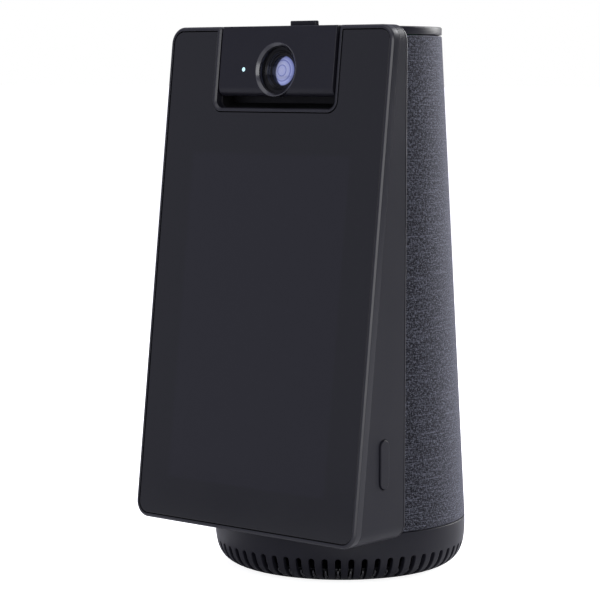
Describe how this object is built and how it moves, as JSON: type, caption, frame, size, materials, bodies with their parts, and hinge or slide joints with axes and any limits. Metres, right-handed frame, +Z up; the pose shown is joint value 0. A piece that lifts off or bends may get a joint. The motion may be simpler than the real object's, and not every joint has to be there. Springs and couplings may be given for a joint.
{
  "type": "smart speaker",
  "caption": "Smart speaker with an upright leaned-back touch display, a tilting camera block at its top and a tapered cloth-covered round body on a slotted base ring.",
  "frame": {"origin": "centre of the base ring's axis on the table, on the rubber foot", "axes": "+Z up along the round body's axis, -Y the way the display faces, +X the viewer's right when facing the display"},
  "size_m": [0.1529, 0.1475, 0.291],
  "materials": {
    "shell_plastic": "fine-textured charcoal moulding",
    "bezel_plastic": "satin charcoal moulding with a bright cut edge",
    "black_glass": "black-backed cover glass",
    "display_black": "dark display panel",
    "steel": "pressed and turned steel",
    "board_green": "solder-masked circuit board",
    "aluminium": "extruded heat sink",
    "driver_metal": "painted steel basket and magnet",
    "cloth": "woven charcoal melange cloth",
    "rubber": "black rubber",
    "black_plastic": "plain black moulding",
    "cone_paper": "pressed paper pulp",
    "lens_glass": "coated lens",
    "led_diffuser": "lit clear light pipe",
    "ribbon": "polyimide ribbon"
  },
  "bodies": {
    "speaker": {"display_bezel": "bezel_plastic", "cover_glass": "black_glass", "display_panel": "display_black", "panel_carrier": "steel", "carrier_screw_1": "steel", "carrier_screw_2": "steel", "carrier_screw_3": "steel", "carrier_screw_4": "steel", "flange_screw_1": "steel", "flange_screw_2": "steel", "flange_screw_3": "steel", "flange_screw_4": "steel", "base_screw_1": "steel", "base_screw_2": "steel", "base_screw_3": "steel", "base_screw_4": "steel", "front_housing": "shell_plastic", "top_cap": "shell_plastic", "base_ring": "shell_plastic", "sound_deflector": "shell_plastic", "main_board": "board_green", "button_board": "board_green", "mic_board": "board_green", "heat_sink": "aluminium", "camera_flex": "ribbon", "button_bracket": "black_plastic", "grille_frame": "black_plastic", "speaker_enclosure": "black_plastic", "base_plate": "black_plastic", "power_jack": "black_plastic", "cloth_sleeve": "cloth", "woofer_basket": "driver_metal", "woofer_magnet": "driver_metal", "woofer_cone": "cone_paper", "woofer_dust_cap": "cone_paper", "woofer_surround": "rubber", "foot_pad": "rubber"},
    "camera_head": {"camera_front_shell": "shell_plastic", "camera_rear_shell": "shell_plastic", "lens_rim": "bezel_plastic", "lens_barrel": "black_plastic", "lens_glass": "lens_glass", "led_window": "led_diffuser", "camera_board": "board_green", "pivot_pin_left": "steel", "pivot_pin_right": "steel", "tilt_tab": "shell_plastic"},
    "side_button": {"side_button": "shell_plastic"}
  },
  "joints": [
    {"name": "camera_tilt", "type": "hinge", "parent": "speaker", "child": "camera_head", "pos_m": [0, -0.04547, 0.26485], "axis": [1, 0, 0], "range_deg": [-8, 15]},
    {"name": "side_button_press", "type": "slide", "parent": "speaker", "child": "side_button", "axis": [-1, 0, 0], "range_m": [0, 0.0008], "stiffness_N_per_m": 1500}
  ]
}
